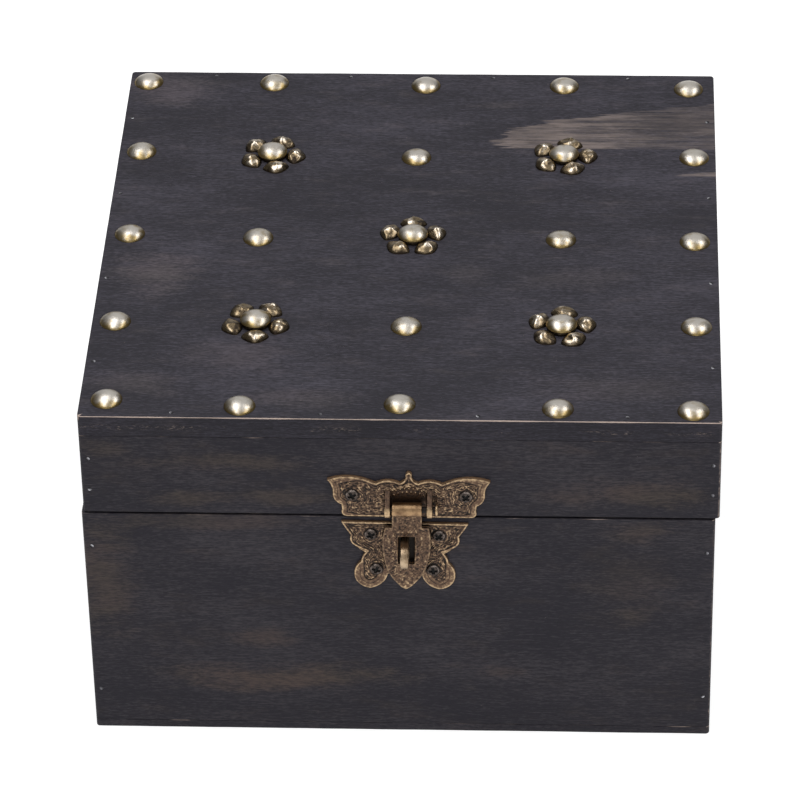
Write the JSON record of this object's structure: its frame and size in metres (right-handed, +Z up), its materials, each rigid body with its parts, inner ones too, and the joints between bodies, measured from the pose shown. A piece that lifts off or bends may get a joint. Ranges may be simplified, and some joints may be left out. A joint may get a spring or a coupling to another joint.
{
  "type": "keepsake chest",
  "caption": "Square stained-wood keepsake chest with a hinged lid, brass dome nails, petal rosettes and a butterfly hasp whose slotted tongue swings over a padlock staple.",
  "frame": {"origin": "middle of the base's underside, on the surface it stands on", "axes": "+X to the right seen from the front, +Y to the back, +Z up; the hasp faces -Y"},
  "size_m": [0.2007, 0.2137, 0.13],
  "materials": {
    "stained_wood": "ebony stain, rubbed, satin",
    "antique_brass": "antique, polished crown",
    "antique_bronze": "antique bronze, relief cast",
    "blackened_steel": "blackened steel",
    "bright_steel": "dull bright steel"
  },
  "bodies": {
    "base": {"base_front_wall": "stained_wood", "base_back_wall": "stained_wood", "base_left_wall": "stained_wood", "base_right_wall": "stained_wood", "base_floor_board": "stained_wood", "base_floor_brads": "bright_steel", "base_corner_brads": "bright_steel", "hasp_lower_plate": "antique_bronze", "hasp_staple": "antique_bronze", "hasp_lower_screws": "blackened_steel", "hinge_left_base_leaf": "antique_bronze", "hinge_right_base_leaf": "antique_bronze", "hinge_left_pin": "antique_bronze", "hinge_right_pin": "antique_bronze", "hinge_base_screws": "blackened_steel"},
    "lid": {"lid_top_board": "stained_wood", "lid_front_wall": "stained_wood", "lid_back_wall": "stained_wood", "lid_left_wall": "stained_wood", "lid_right_wall": "stained_wood", "lid_top_brads": "bright_steel", "lid_corner_brads": "bright_steel", "edge_dome_nails": "antique_brass", "inner_dome_nails": "antique_brass", "rosette_dome_nails": "antique_brass", "rosette_back_left": "antique_bronze", "rosette_back_right": "antique_bronze", "rosette_centre": "antique_bronze", "rosette_front_left": "antique_bronze", "rosette_front_right": "antique_bronze", "hasp_upper_plate": "antique_bronze", "hasp_upper_screws": "blackened_steel", "hasp_pin": "antique_bronze", "hinge_left_lid_leaf": "antique_bronze", "hinge_right_lid_leaf": "antique_bronze", "hinge_lid_screws": "blackened_steel"},
    "tongue": {"hasp_tongue": "antique_bronze"}
  },
  "joints": [
    {"name": "lid_hinge", "type": "hinge", "parent": "base", "child": "lid", "pos_m": [0, 0.10199, 0.0879], "axis": [-1, 0, 0], "range_deg": [0, 180]},
    {"name": "tongue_hinge", "type": "hinge", "parent": "lid", "child": "tongue", "pos_m": [0.0032, -0.1036, 0.0933], "axis": [-1, 0, 0], "range_deg": [0, 175]}
  ]
}
